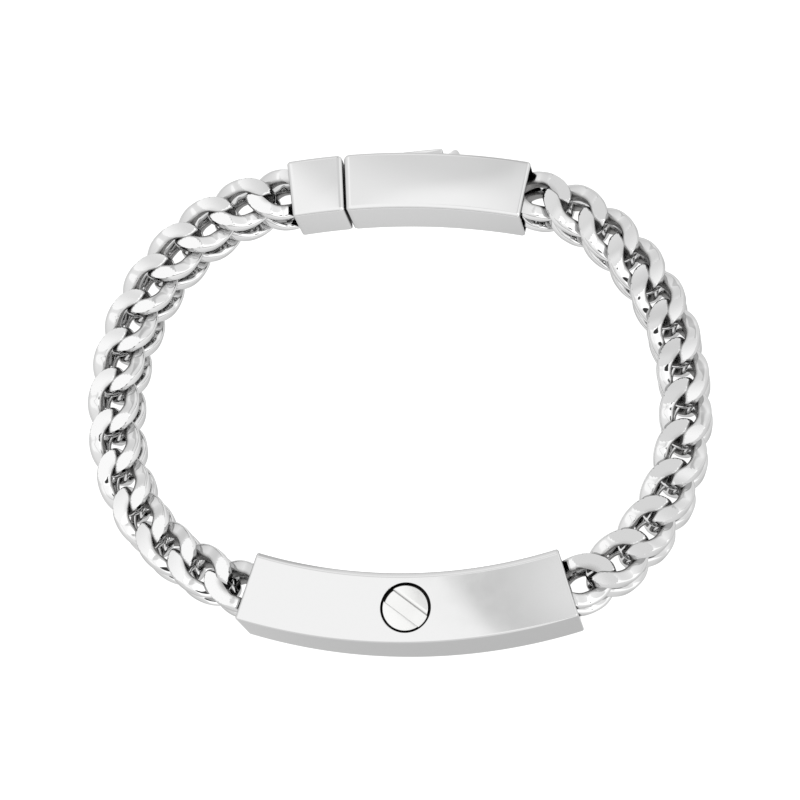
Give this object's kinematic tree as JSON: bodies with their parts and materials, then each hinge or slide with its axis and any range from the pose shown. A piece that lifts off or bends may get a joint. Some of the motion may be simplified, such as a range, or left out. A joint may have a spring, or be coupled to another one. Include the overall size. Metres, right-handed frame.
{
  "type": "id bracelet with a curved bar, double curb chain and box clasp",
  "caption": "Polished steel wrist bracelet lying on its side: curved square bar with a slotted screw, interlocked double-deck curb chain and a box clasp with a flip lever.",
  "frame": {"origin": "middle of the outline, on the table that the bracelet lies on", "axes": "+Z is the wrist's axis, up from the table; -Y is towards the bar's outer face; +Y towards the clasp; +X from the small clasp block towards the clasp body"},
  "size_m": [0.0812, 0.0667, 0.01],
  "materials": {
    "polished_steel": "mirror-polished stainless steel"
  },
  "bodies": {
    "bracelet": {"id_bar": "polished_steel", "bar_screw": "polished_steel", "clasp_block": "polished_steel", "clasp_body": "polished_steel", "lever_pin": "polished_steel", "link_left_01": "polished_steel", "link_left_02": "polished_steel", "link_left_03": "polished_steel", "link_left_04": "polished_steel", "link_left_05": "polished_steel", "link_left_06": "polished_steel", "link_left_07": "polished_steel", "link_left_08": "polished_steel", "link_left_09": "polished_steel", "link_left_10": "polished_steel", "link_left_11": "polished_steel", "link_left_12": "polished_steel", "link_left_13": "polished_steel", "link_left_14": "polished_steel", "link_right_01": "polished_steel", "link_right_02": "polished_steel", "link_right_03": "polished_steel", "link_right_04": "polished_steel", "link_right_05": "polished_steel", "link_right_06": "polished_steel", "link_right_07": "polished_steel", "link_right_08": "polished_steel", "link_right_09": "polished_steel", "link_right_10": "polished_steel", "link_right_11": "polished_steel", "link_right_12": "polished_steel", "link_right_13": "polished_steel"},
    "lever": {"clasp_lever": "polished_steel"}
  },
  "joints": [
    {"name": "lever_hinge", "type": "hinge", "parent": "bracelet", "child": "lever", "pos_m": [-0.00231, 0.0317, 0.0041], "axis": [0, 0, 1], "range_deg": [0, 80]}
  ]
}
